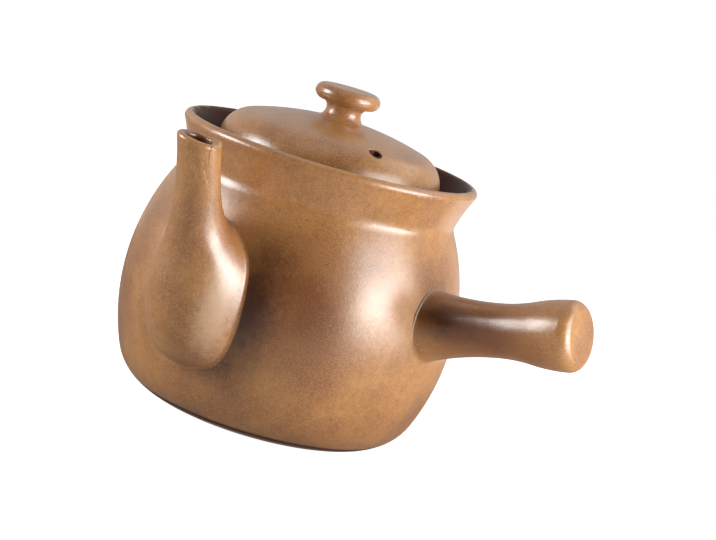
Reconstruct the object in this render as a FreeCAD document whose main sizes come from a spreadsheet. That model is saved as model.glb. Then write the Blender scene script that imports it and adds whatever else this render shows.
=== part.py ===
import FreeCAD, Part
import math
import os
import Sketcher
from FreeCAD import Placement, Rotation, Vector

# Clay pot for boiling herbs: a thrown pot with a flared collar, a spout and a hollow
# side handle luted to its wall, and a domed lid with a knob that sits inside the collar.
# Millimetres. +Z is up, the origin is the centre of the flat base, the handle points
# along +X and the spout along -Y.

doc = FreeCAD.newDocument("HerbPot")

# Driving sizes. Heights are above the flat base.
sizes = {
    # pot: outside; the lean is how far the collar tips outward, in degrees, at the neck
    "belly_radius": 84.4,
    "belly_height": 58.0,
    "belly_arc": 113.0,
    "foot_arc": 26.0,
    "neck_height": 116.0,
    "neck_round": 8.0,
    "collar_height": 22.0,
    "collar_flare": 6.6,
    "collar_lean": 13.0,
    "lip_radius": 2.7,
    # pot: inside; the ledge stands above the neck and reaches in from it
    "pot_wall": 5.5,
    "floor_thickness": 6.5,
    "ledge_rise": 6.0,
    "ledge_reach": 11.1,
    "ledge_thickness": 5.0,
    "ledge_haunch": 6.0,
    # strainer holes through the wall behind the spout
    "strainer_height": 63.0,
    "strainer_pitch": 12.0,
    "strainer_hole_radius": 2.8,
    "strainer_ring_count": 6,
    # spout: ovals from its toe to its mouth, each so far above the last, and its centre so
    # far out from the belly's widest
    "spout_wall": 4.0,
    "toe_height": 24.0,
    "toe_out": -28.4,
    "toe_depth": 21.0,
    "toe_width": 14.0,
    "heel_rise": 8.0,
    "heel_out": -26.4,
    "heel_depth": 28.5,
    "heel_width": 24.0,
    "bulb_rise": 26.0,
    "bulb_out": -22.4,
    "bulb_depth": 40.5,
    "bulb_width": 29.0,
    "hip_rise": 22.0,
    "hip_out": -14.4,
    "hip_depth": 35.3,
    "hip_width": 24.0,
    "gorge_rise": 18.0,
    "gorge_out": 8.1,
    "gorge_depth": 16.5,
    "gorge_width": 13.0,
    "spout_neck_rise": 14.0,
    "spout_neck_out": 16.1,
    "spout_neck_radius": 11.0,
    "mouth_rise": 25.0,
    "mouth_out": 26.6,
    "mouth_radius": 10.3,
    "mouth_roll": 8.0,
    "mouth_round": 1.7,
    # handle, along its own raised axis, out from the belly's widest
    "handle_tilt": 16.1,
    "handle_axis_height": 51.0,
    "handle_wall": 4.5,
    "handle_root_out": -8.4,
    "handle_root_radius": 19.8,
    "handle_waist_out": 37.6,
    "handle_waist_radius": 12.95,
    "handle_end_out": 79.3,
    "handle_end_radius": 16.8,
    "handle_end_round": 5.6,
    "weep_hole_out": 19.6,
    "weep_hole_radius": 1.3,
    # lid
    "seat_gap": 0.3,
    "spigot_gap": 0.8,
    "flange_gap": 2.0,
    "flange_thickness": 4.0,
    "spigot_depth": 8.0,
    "lid_wall": 5.0,
    "lid_side": 4.6,
    "shoulder_arc": 16.0,
    "dome_arc": 156.0,
    "vent_radius": 2.8,
    "vent_inset": 11.1,
    "vent_angle": -31.9,
    # knob
    "knob_radius": 16.4,
    "knob_edge_radius": 4.0,
    "knob_rise": 11.8,
    "knob_neck_radius": 8.9,
    "knob_throat_arc": 3.6,
    "knob_foot_arc": 4.9,
    "knob_dish_arc": 130.0,
}

sheet = doc.addObject("Spreadsheet::Sheet", "Sizes")
for row, (name, value) in enumerate(sizes.items(), start=1):
    sheet.set("A%d" % row, name)
    sheet.set("B%d" % row, str(value))
    sheet.setAlias("B%d" % row, name)
doc.recompute()

outward_normal = Vector(0, 0, 1)
start_point, end_point, centre_point = range(1, 4)
origin_index, upright_axis = range(-1, -3, -1)


def size(name):
    return float(sheet.get(name))


def sheet_terms(text):
    # the words of a formula that are sizes, written as cells of the sheet
    words = text.split()
    return " ".join("Sizes." + word if word in sizes else word for word in words)


# a sketch on one of a body's own planes, drawn curve by curve
class Outline:

    def __init__(self, body, plane_role, label):
        self.sketch = body.newObject("Sketcher::SketchObject", label)
        plane = [f for f in body.Origin.OriginFeatures if f.Role == plane_role][0]
        self.sketch.AttachmentSupport = [(plane, "")]
        self.sketch.MapMode = "FlatFace"

    def line(self, start, end):
        return self.sketch.addGeometry(Part.LineSegment(Vector(*start, 0), Vector(*end, 0)))

    def arc(self, centre, radius, first, last):
        circle = Part.Circle(Vector(*centre, 0), outward_normal, radius)
        return self.sketch.addGeometry(Part.ArcOfCircle(circle, first, last))

    def circle(self, centre, radius):
        return self.sketch.addGeometry(Part.Circle(Vector(*centre, 0), outward_normal, radius))

    def rule(self, *terms, formula=None):
        index = self.sketch.addConstraint(Sketcher.Constraint(*terms))
        if formula:
            self.sketch.setExpression("Constraints[%d]" % index, sheet_terms(formula))
        return index

    def join(self, first, first_end, second, second_end):
        self.rule("Coincident", first, first_end, second, second_end)

    def blend(self, first, first_end, second, second_end):
        self.rule("Tangent", first, first_end, second, second_end)

    def level(self, curve):
        self.rule("Horizontal", curve)

    def upright(self, curve):
        self.rule("Vertical", curve)

    def radius(self, curve, formula, value):
        self.rule("Radius", curve, value, formula=formula)

    def across(self, curve, point, formula, value):
        self.rule("DistanceX", origin_index, start_point, curve, point, value, formula=formula)

    def above(self, curve, point, formula, value):
        self.rule("DistanceY", origin_index, start_point, curve, point, value, formula=formula)

    def apart(self, direction, first, first_end, second, second_end, formula, value):
        self.rule(direction, first, first_end, second, second_end, value, formula=formula)


def bind(feature, **formulas):
    # ties the named properties of a feature to sizes; a dot is written as two underscores
    for name, formula in formulas.items():
        feature.setExpression(name.replace("__", "."), sheet_terms(formula))


def solid_body(label):
    body = doc.addObject("PartDesign::Body", label)
    body.Label = label
    return body


def revolve(body, outline, label, axis):
    turned = body.newObject("PartDesign::Revolution", label)
    turned.Profile = outline.sketch
    turned.ReferenceAxis = (outline.sketch, [axis])
    turned.Angle = 360.0
    doc.recompute()
    return turned


def cut(label, base, tool):
    piece = doc.addObject("Part::Cut", label.replace(" ", "_"))
    piece.Label = label
    piece.Base = base
    piece.Tool = tool
    doc.recompute()
    return piece


# Formulas of places that several pieces share.
neck_reach = ("( belly_radius - belly_arc"
              " + sqrt( belly_arc ^ 2 - ( neck_height - belly_height ) ^ 2 ) )")
rim_reach = "( %s + collar_flare )" % neck_reach
rim_height = "( neck_height + collar_height )"
lip_inset = "( collar_flare - lip_radius )"
lip_rise = "( collar_height - lip_radius )"
lean_across, lean_up = "cos( collar_lean * 1deg )", "sin( collar_lean * 1deg )"
collar_arc = (
    "( ( %s ^ 2 + %s ^ 2 - lip_radius ^ 2 ) / ( 2 * ( lip_radius + %s * %s - %s * %s ) ) )"
    % (lip_inset, lip_rise, lip_inset, lean_across, lip_rise, lean_up))
collar_reach = "( %s + %s * %s )" % (neck_reach, collar_arc, lean_across)
collar_drop = "( %s * %s )" % (collar_arc, lean_up)
ledge_height = "( neck_height + ledge_rise )"
ledge_end = "( %s - sqrt( ( %s + 2 * lip_radius ) ^ 2 - ( ledge_rise + %s ) ^ 2 ) )" % (
    collar_reach, collar_arc, collar_drop)
throat_reach = "( %s - ledge_reach )" % neck_reach
lid_reach = "( %s - spigot_gap )" % throat_reach
seat_height = "( %s + seat_gap )" % ledge_height
shoulder_height = "( %s + flange_thickness + lid_side )" % seat_height
dome_centre = "( %s - sqrt( ( dome_arc - shoulder_arc ) ^ 2 - ( %s - shoulder_arc ) ^ 2 ) )" % (
    shoulder_height, lid_reach)
crown_height = "( %s + dome_arc )" % dome_centre
spout_neck_height = "( toe_height + heel_rise + bulb_rise + hip_rise + gorge_rise + spout_neck_rise )"
mouth_height = "( %s + mouth_rise )" % spout_neck_height


def worked_out(formula):
    # the value of a formula of sizes, used to draw each sketch near its solution
    words = [str(size(word)) if word in sizes else word for word in formula.split()]
    sheet.set("C1", "=" + " ".join(words))
    doc.recompute()
    value = float(sheet.get("C1"))
    sheet.clear("C1")
    return value


belly_x = size("belly_radius") - size("belly_arc")
belly_centre = (belly_x, size("belly_height"))
collar_radius = worked_out(collar_arc)
collar_centre = (worked_out(collar_reach), size("neck_height") - worked_out(collar_drop))
lip_centre = (worked_out(rim_reach) - size("lip_radius"),
              worked_out(rim_height) - size("lip_radius"))
lip_angle = math.asin((lip_centre[1] - collar_centre[1]) / (collar_radius + size("lip_radius")))
throat_x, ledge_z = worked_out(throat_reach), worked_out(ledge_height)


def tucked_arc(big_radius, small_radius, floor):
    # centre and angle of the corner arc that runs from a flat floor into the belly's arc
    rise = size("belly_height") - floor - small_radius
    gap = big_radius - small_radius
    centre = (belly_x + math.sqrt(gap ** 2 - rise ** 2), floor + small_radius)
    return centre, -math.asin(rise / gap)


def neck_arc():
    # centre of the arc that rounds the crease between the belly and the collar
    from_belly = size("belly_arc") + size("neck_round")
    from_collar = collar_radius - size("neck_round")
    across, up = collar_centre[0] - belly_centre[0], collar_centre[1] - belly_centre[1]
    span = math.hypot(across, up)
    along = (from_belly ** 2 - from_collar ** 2 + span ** 2) / (2 * span)
    aside = math.sqrt(from_belly ** 2 - along ** 2)
    return (belly_centre[0] + (along * across - aside * up) / span,
            belly_centre[1] + (along * up + aside * across) / span)


def angle_between(start, end):
    return math.atan2(end[1] - start[1], end[0] - start[0])


def draw_outside(outline):
    # base, foot, belly, neck and collar, from the axis to the lip
    foot_centre, foot_angle = tucked_arc(size("belly_arc"), size("foot_arc"), 0.0)
    neck_centre = neck_arc()
    belly_end = angle_between(belly_centre, neck_centre)
    neck_start = angle_between(collar_centre, neck_centre) % (2 * math.pi)
    base = outline.line((0, 0), (foot_centre[0], 0))
    foot = outline.arc(foot_centre, size("foot_arc"), -math.pi / 2, foot_angle)
    belly = outline.arc(belly_centre, size("belly_arc"), foot_angle, belly_end)
    neck = outline.arc(neck_centre, size("neck_round"), neck_start, belly_end + math.pi)
    collar = outline.arc(collar_centre, collar_radius, math.pi - lip_angle, neck_start)
    outline.join(base, start_point, origin_index, start_point)
    outline.level(base)
    outline.blend(base, end_point, foot, start_point)
    outline.radius(foot, "foot_arc", size("foot_arc"))
    outline.blend(foot, end_point, belly, start_point)
    outline.radius(belly, "belly_arc", size("belly_arc"))
    outline.above(belly, centre_point, "belly_height", size("belly_height"))
    outline.apart("DistanceX", belly, centre_point, origin_index, start_point,
                  "belly_arc - belly_radius", -belly_x)
    outline.blend(belly, end_point, neck, end_point)
    outline.radius(neck, "neck_round", size("neck_round"))
    outline.blend(neck, start_point, collar, end_point)
    outline.across(collar, centre_point, collar_reach, collar_centre[0])
    outline.above(collar, centre_point, "neck_height - " + collar_drop, collar_centre[1])
    return base, foot, belly, collar


def draw_lip(outline, collar, last_angle):
    lip = outline.arc(lip_centre, size("lip_radius"), -lip_angle, last_angle)
    outline.blend(collar, start_point, lip, start_point)
    outline.radius(lip, "lip_radius", size("lip_radius"))
    outline.across(lip, centre_point, rim_reach + " - lip_radius", lip_centre[0])
    outline.above(lip, centre_point, rim_height + " - lip_radius", lip_centre[1])
    return lip


def make_pot_form():
    # the pot's outside as one solid, which the spout and the handle are cut to
    body = solid_body("pot form")
    outline = Outline(body, "XZ_Plane", "form_outline")
    base, foot, belly, collar = draw_outside(outline)
    lip = draw_lip(outline, collar, math.pi / 2)
    rim_z = lip_centre[1] + size("lip_radius")
    top = outline.line((lip_centre[0], rim_z), (0, rim_z))
    axis = outline.line((0, rim_z), (0, 0))
    outline.blend(lip, end_point, top, start_point)
    outline.level(top)
    outline.rule("PointOnObject", top, end_point, upright_axis)
    outline.join(top, end_point, axis, start_point)
    outline.join(axis, end_point, base, start_point)
    revolve(body, outline, "form_turned", "V_Axis")
    return body


def make_pot_body():
    body = solid_body("pot_body")
    outline = Outline(body, "XZ_Plane", "pot_outline")
    base, foot, belly, collar = draw_outside(outline)
    lip = draw_lip(outline, collar, math.pi - lip_angle)

    inner_collar_radius = collar_radius + 2 * size("lip_radius")
    seat_lean = math.asin((ledge_z - collar_centre[1]) / inner_collar_radius)
    seat_x = collar_centre[0] - inner_collar_radius * math.cos(seat_lean)
    inner_collar = outline.arc(collar_centre, inner_collar_radius,
                               math.pi - lip_angle, math.pi - seat_lean)
    outline.blend(lip, end_point, inner_collar, start_point)
    outline.join(inner_collar, centre_point, collar, centre_point)

    under_height = ledge_z - size("ledge_thickness")
    ledge = outline.line((seat_x, ledge_z), (throat_x, ledge_z))
    throat = outline.line((throat_x, ledge_z), (throat_x, under_height))
    outline.join(inner_collar, end_point, ledge, start_point)
    outline.level(ledge)
    outline.above(ledge, start_point, ledge_height, ledge_z)
    outline.join(ledge, end_point, throat, start_point)
    outline.upright(throat)
    outline.across(throat, start_point, throat_reach, throat_x)
    outline.apart("DistanceY", throat, end_point, throat, start_point,
                  "ledge_thickness", size("ledge_thickness"))

    inner_radius = size("belly_arc") - size("pot_wall")
    haunch_height = under_height - size("ledge_haunch")
    haunch_angle = math.asin((haunch_height - size("belly_height")) / inner_radius)
    haunch_x = belly_x + inner_radius * math.cos(haunch_angle)
    haunch = outline.line((throat_x, under_height), (haunch_x, haunch_height))
    outline.join(throat, end_point, haunch, start_point)
    outline.apart("DistanceY", haunch, end_point, haunch, start_point,
                  "ledge_haunch", size("ledge_haunch"))

    corner_radius = size("foot_arc") - size("pot_wall")
    corner_centre, corner_angle = tucked_arc(inner_radius, corner_radius, size("floor_thickness"))
    inner_belly = outline.arc(belly_centre, inner_radius, corner_angle, haunch_angle)
    corner = outline.arc(corner_centre, corner_radius, -math.pi / 2, corner_angle)
    floor = outline.line((0, size("floor_thickness")), (corner_centre[0], size("floor_thickness")))
    axis = outline.line((0, 0), (0, size("floor_thickness")))
    outline.join(inner_belly, centre_point, belly, centre_point)
    outline.join(inner_belly, end_point, haunch, end_point)
    outline.radius(inner_belly, "belly_arc - pot_wall", inner_radius)
    outline.blend(corner, end_point, inner_belly, start_point)
    outline.radius(corner, "foot_arc - pot_wall", corner_radius)
    outline.blend(floor, end_point, corner, start_point)
    outline.rule("PointOnObject", floor, start_point, upright_axis)
    outline.above(floor, start_point, "floor_thickness", size("floor_thickness"))
    outline.join(axis, start_point, base, start_point)
    outline.join(axis, end_point, floor, start_point)
    revolve(body, outline, "pot_turned", "V_Axis")

    drill_strainer(body)
    return body


def drill_strainer(body):
    # one hole and a ring of holes round it, bored level through the wall behind the spout
    depth = "spout_wall + belly_radius - " + throat_reach
    for label, offset in (("strainer_centre", 0.0), ("strainer_hole", size("strainer_pitch"))):
        outline = Outline(body, "XZ_Plane", label)
        bind(outline.sketch, AttachmentOffset__Base__y="strainer_height",
             AttachmentOffset__Base__z=throat_reach)
        hole = outline.circle((offset, 0), size("strainer_hole_radius"))
        outline.radius(hole, "strainer_hole_radius", size("strainer_hole_radius"))
        if offset:
            outline.rule("PointOnObject", hole, centre_point, origin_index)
            outline.across(hole, centre_point, "strainer_pitch", offset)
        else:
            outline.join(hole, centre_point, origin_index, start_point)
        volume = body.Shape.Volume
        bore = body.newObject("PartDesign::Pocket", label + "_bore")
        bore.Profile = outline.sketch
        bore.Reversed = True
        bind(bore, Length=depth)
        doc.recompute()
        if body.Shape.Volume >= volume:
            raise RuntimeError(label + " cuts nothing")
    ring = body.newObject("PartDesign::PolarPattern", "strainer_ring")
    ring.Originals = [bore]
    ring.Axis = (outline.sketch, ["N_Axis"])
    ring.Angle = 360.0
    bind(ring, Occurrences="strainer_ring_count")
    body.Tip = ring
    doc.recompute()


def oval(label, height, out, depth, width):
    # a level oval, its long way out from the pot's axis
    ring = doc.addObject("Part::Ellipse", label)
    ring.Placement = Placement(Vector(0, 0, 0), Rotation(Vector(0, 0, 1), 90))
    bind(ring, MajorRadius=depth, MinorRadius=width,
         Placement__Base__y="0 - belly_radius - ( %s )" % out, Placement__Base__z=height)
    return ring


def loft(label, sections):
    skin = doc.addObject("Part::Loft", label)
    skin.Sections = sections
    skin.Solid = True
    skin.Ruled = False
    return skin


def spout_form(label, inset):
    # the teardrop that rises into a round neck; inset is the wall that is left outside it
    take = " - ( %s )" % inset
    sections = [
        oval(label + "_toe", "toe_height + ( %s )" % inset, "toe_out", "toe_depth" + take,
             "toe_width" + take),
    ]
    height = "toe_height"
    for part in ("heel", "bulb", "hip", "gorge"):
        height += " + %s_rise" % part
        sections.append(oval(label + "_" + part, height, part + "_out",
                             part + "_depth" + take, part + "_width" + take))
    radius = "spout_neck_radius" + take
    sections.append(oval(label + "_neck", spout_neck_height, "spout_neck_out", radius, radius))
    radius = "mouth_radius" + take
    sections.append(oval(label + "_mouth", mouth_height, "mouth_out", radius, radius))
    # the neck runs half as far again past the mouth, to be cut off there
    sections.append(oval(label + "_above", mouth_height + " + 0.5 * mouth_rise",
                         "1.5 * mouth_out - 0.5 * spout_neck_out", radius, radius))
    return loft(label, sections)


def make_spout(pot_form):
    outside = spout_form("spout_outside", "0")
    channel = spout_form("spout_channel", "spout_wall")
    # a block over the mouth, four mouths wide, whose underside leans with the mouth
    width, half_width = "8 * mouth_radius", "4 * mouth_radius"
    trim = doc.addObject("Part::Box", "mouth_trim")
    trim.Placement = Placement(Vector(0, 0, 0), Rotation(Vector(0, 1, 0), size("mouth_roll")))
    bind(trim, Length=width, Width=width, Height="mouth_rise",
         Placement__Base__x="0 - %s * cos( mouth_roll )" % half_width,
         Placement__Base__y="0 - belly_radius - mouth_out - %s" % half_width,
         Placement__Base__z="%s + %s * sin( mouth_roll )" % (mouth_height, half_width),
         Placement__Rotation__Angle="mouth_roll")
    doc.recompute()
    tube = cut("spout tube", outside, channel)
    seated = cut("spout seated", tube, pot_form)
    trimmed = cut("spout trimmed", seated, trim)
    return round_mouth(trimmed)


def round_mouth(trimmed):
    # softens the two edges of the mouth, which lie in the plane it is cut to
    roll = math.radians(size("mouth_roll"))
    facing = Vector(math.sin(roll), 0, math.cos(roll))
    on_mouth = Vector(0, -size("belly_radius") - size("mouth_out"), worked_out(mouth_height))
    edges = []
    for number, edge in enumerate(trimmed.Shape.Edges, start=1):
        points = edge.discretize(9)
        if all(abs((point - on_mouth).dot(facing)) < 1e-4 for point in points):
            edges.append((number, size("mouth_round"), size("mouth_round")))
    spout = doc.addObject("Part::Fillet", "spout")
    spout.Label = "spout"
    spout.Base = trimmed
    spout.Edges = edges
    doc.recompute()
    return spout


def make_handle(pot_form):
    # hollow and closed at its end, turned about its own axis and cut to the pot's wall
    body = solid_body("handle blank")
    tilt = Rotation(Vector(0, -1, 0), size("handle_tilt"))
    body.Placement = Placement(Vector(0, 0, size("handle_axis_height")), tilt)
    bind(body, Placement__Base__z="handle_axis_height",
         Placement__Rotation__Angle="handle_tilt")
    outline = Outline(body, "XZ_Plane", "handle_outline")

    root_x, waist_x, end_x = [size("belly_radius") + size("handle_%s_out" % part)
                              for part in ("root", "waist", "end")]
    root_r, waist_r, end_r = [size("handle_%s_radius" % part) for part in ("root", "waist", "end")]
    edge, wall = size("handle_end_round"), size("handle_wall")
    swell_x = end_x - edge
    run, rise = waist_x - root_x, root_r - waist_r
    flare_radius = (run ** 2 + rise ** 2) / (2 * rise)
    flare_angle = math.asin(run / flare_radius)
    half_run, half_rise = (swell_x - waist_x) / 2, (end_r - waist_r) / 2
    sweep_radius = (half_run ** 2 + half_rise ** 2) / (2 * half_rise)
    sweep_angle = math.asin(half_run / sweep_radius)
    down, up = -math.pi / 2, math.pi / 2

    flare = outline.arc((waist_x, waist_r + flare_radius), flare_radius, down - flare_angle, down)
    hollow_sweep = outline.arc((waist_x, waist_r + sweep_radius), sweep_radius, down,
                               down + sweep_angle)
    full_sweep = outline.arc((swell_x, end_r - sweep_radius), sweep_radius, up, up + sweep_angle)
    end_round = outline.arc((swell_x, end_r - edge), edge, 0, up)
    face = outline.line((end_x, end_r - edge), (end_x, 0))
    outline.above(flare, start_point, "handle_root_radius", root_r)
    outline.across(flare, start_point, "belly_radius + handle_root_out", root_x)
    outline.blend(flare, end_point, hollow_sweep, start_point)
    outline.across(flare, end_point, "belly_radius + handle_waist_out", waist_x)
    outline.above(flare, end_point, "handle_waist_radius", waist_r)
    outline.rule("Vertical", flare, centre_point, flare, end_point)
    outline.blend(hollow_sweep, end_point, full_sweep, end_point)
    outline.rule("Equal", hollow_sweep, full_sweep)
    outline.blend(full_sweep, start_point, end_round, end_point)
    outline.rule("Vertical", end_round, centre_point, end_round, end_point)
    outline.above(end_round, end_point, "handle_end_radius", end_r)
    outline.radius(end_round, "handle_end_round", edge)
    outline.blend(end_round, start_point, face, start_point)
    outline.across(face, start_point, "belly_radius + handle_end_out", end_x)
    outline.rule("PointOnObject", face, end_point, origin_index)

    inner_flare_angle = math.asin(run / (flare_radius + wall))
    inner_root_r = waist_r + flare_radius - (flare_radius + wall) * math.cos(inner_flare_angle)
    inner_end_x = end_x - wall
    inner_end_r = end_r - sweep_radius + math.sqrt(
        (sweep_radius - wall) ** 2 - (inner_end_x - swell_x) ** 2)
    tuck_angle = math.asin((inner_end_x - swell_x) / (sweep_radius - wall))
    inner_flare = outline.arc((waist_x, waist_r + flare_radius), flare_radius + wall,
                              down - inner_flare_angle, down)
    inner_hollow = outline.arc((waist_x, waist_r + sweep_radius), sweep_radius + wall, down,
                               down + sweep_angle)
    inner_full = outline.arc((swell_x, end_r - sweep_radius), sweep_radius - wall,
                             up - tuck_angle, up + sweep_angle)
    inner_face = outline.line((inner_end_x, inner_end_r), (inner_end_x, 0))
    axis = outline.line((inner_end_x, 0), (end_x, 0))
    root = outline.line((root_x, inner_root_r), (root_x, root_r))
    outline.join(inner_flare, centre_point, flare, centre_point)
    outline.join(inner_hollow, centre_point, hollow_sweep, centre_point)
    outline.join(inner_full, centre_point, full_sweep, centre_point)
    outline.join(inner_flare, end_point, inner_hollow, start_point)
    outline.rule("Vertical", inner_hollow, centre_point, inner_hollow, start_point)
    outline.apart("DistanceY", inner_flare, end_point, flare, end_point, "handle_wall", wall)
    outline.blend(inner_hollow, end_point, inner_full, end_point)
    outline.join(inner_full, start_point, inner_face, start_point)
    outline.upright(inner_face)
    outline.rule("PointOnObject", inner_face, end_point, origin_index)
    outline.join(inner_face, end_point, axis, start_point)
    outline.join(axis, end_point, face, end_point)
    outline.apart("DistanceX", axis, start_point, axis, end_point, "handle_wall", wall)
    outline.join(root, start_point, inner_flare, start_point)
    outline.join(root, end_point, flare, start_point)
    outline.upright(root)
    revolve(body, outline, "handle_turned", "H_Axis")

    # weep hole on the underside, which lets the closed hollow breathe in the kiln
    weep = Outline(body, "XY_Plane", "weep_outline")
    hole_x = size("belly_radius") + size("weep_hole_out")
    hole = weep.circle((hole_x, 0), size("weep_hole_radius"))
    weep.radius(hole, "weep_hole_radius", size("weep_hole_radius"))
    weep.rule("PointOnObject", hole, centre_point, origin_index)
    weep.across(hole, centre_point, "belly_radius + weep_hole_out", hole_x)
    volume = body.Shape.Volume
    bore = body.newObject("PartDesign::Pocket", "weep_bore")
    bore.Profile = weep.sketch
    bind(bore, Length="handle_root_radius + handle_wall")
    doc.recompute()
    if body.Shape.Volume >= volume:
        raise RuntimeError("the weep hole cuts nothing")
    return cut("handle", body, pot_form)


def make_lid():
    body = solid_body("lid")
    outline = Outline(body, "XZ_Plane", "lid_outline")
    wall, dome, shoulder = size("lid_wall"), size("dome_arc"), size("shoulder_arc")
    wall_x, seat = worked_out(lid_reach), worked_out(seat_height)
    thick = size("flange_thickness")
    centre = worked_out(dome_centre)
    shoulder_x = wall_x - shoulder
    reach = math.acos(shoulder_x / (dome - shoulder))
    shoulder_centre = (shoulder_x, centre + (dome - shoulder) * math.sin(reach))

    top = outline.arc((0, centre), dome, reach, math.pi / 2)
    bend = outline.arc(shoulder_centre, shoulder, 0, reach)
    side = outline.line((wall_x, shoulder_centre[1]), (wall_x, seat + thick))
    outline.rule("PointOnObject", top, centre_point, upright_axis)
    outline.rule("PointOnObject", top, end_point, upright_axis)
    outline.radius(top, "dome_arc", dome)
    outline.above(bend, centre_point, shoulder_height, shoulder_centre[1])
    outline.blend(bend, end_point, top, start_point)
    outline.radius(bend, "shoulder_arc", shoulder)
    outline.blend(side, start_point, bend, start_point)
    outline.upright(side)
    outline.across(side, start_point, lid_reach, wall_x)
    outline.above(side, end_point, seat_height + " + flange_thickness", seat + thick)

    # flange that rests on the ledge, its rim half round
    rim_x = worked_out(ledge_end) - size("flange_gap") - thick / 2
    flange_top = outline.line((wall_x, seat + thick), (rim_x, seat + thick))
    rim = outline.arc((rim_x, seat + thick / 2), thick / 2, -math.pi / 2, math.pi / 2)
    flange_under = outline.line((rim_x, seat), (wall_x, seat))
    outline.join(side, end_point, flange_top, start_point)
    outline.level(flange_top)
    outline.blend(flange_top, end_point, rim, end_point)
    outline.blend(flange_under, start_point, rim, start_point)
    outline.level(flange_under)
    outline.above(flange_under, start_point, seat_height, seat)
    outline.across(rim, centre_point, ledge_end + " - flange_gap - flange_thickness / 2", rim_x)

    # spigot that drops into the throat, then the inside of the lid
    foot = seat - size("spigot_depth")
    inner_x = wall_x - wall
    spigot = outline.line((wall_x, seat), (wall_x, foot))
    spigot_end = outline.line((wall_x, foot), (inner_x, foot))
    inner_side = outline.line((inner_x, foot), (inner_x, shoulder_centre[1]))
    inner_bend = outline.arc(shoulder_centre, shoulder - wall, 0, reach)
    inner_top = outline.arc((0, centre), dome - wall, reach, math.pi / 2)
    axis = outline.line((0, centre + dome - wall), (0, centre + dome))
    outline.join(flange_under, end_point, spigot, start_point)
    outline.upright(spigot)
    outline.rule("Vertical", side, start_point, spigot, start_point)
    outline.join(spigot, end_point, spigot_end, start_point)
    outline.apart("DistanceY", spigot, end_point, spigot, start_point, "spigot_depth",
                  size("spigot_depth"))
    outline.level(spigot_end)
    outline.join(spigot_end, end_point, inner_side, start_point)
    outline.upright(inner_side)
    outline.apart("DistanceX", spigot_end, end_point, spigot_end, start_point, "lid_wall", wall)
    outline.join(inner_bend, centre_point, bend, centre_point)
    outline.blend(inner_side, end_point, inner_bend, start_point)
    outline.join(inner_top, centre_point, top, centre_point)
    outline.blend(inner_bend, end_point, inner_top, start_point)
    outline.rule("PointOnObject", inner_top, end_point, upright_axis)
    outline.join(axis, start_point, inner_top, end_point)
    outline.join(axis, end_point, top, end_point)
    revolve(body, outline, "lid_turned", "V_Axis")

    # steam vent, pierced straight down
    vent = Outline(body, "XY_Plane", "vent_outline")
    turn = Rotation(Vector(0, 0, 1), size("vent_angle"))
    vent.sketch.AttachmentOffset = Placement(Vector(0, 0, 0), turn)
    bind(vent.sketch, AttachmentOffset__Rotation__Angle="vent_angle",
         AttachmentOffset__Base__z=ledge_height)
    vent_x = wall_x - size("vent_inset")
    hole = vent.circle((vent_x, 0), size("vent_radius"))
    vent.radius(hole, "vent_radius", size("vent_radius"))
    vent.rule("PointOnObject", hole, centre_point, origin_index)
    vent.across(hole, centre_point, lid_reach + " - vent_inset", vent_x)
    volume = body.Shape.Volume
    bore = body.newObject("PartDesign::Pocket", "vent_bore")
    bore.Profile = vent.sketch
    bore.Reversed = True
    bind(bore, Length=crown_height + " - " + ledge_height)
    doc.recompute()
    if body.Shape.Volume >= volume:
        raise RuntimeError("the vent cuts nothing")
    return body


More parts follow.
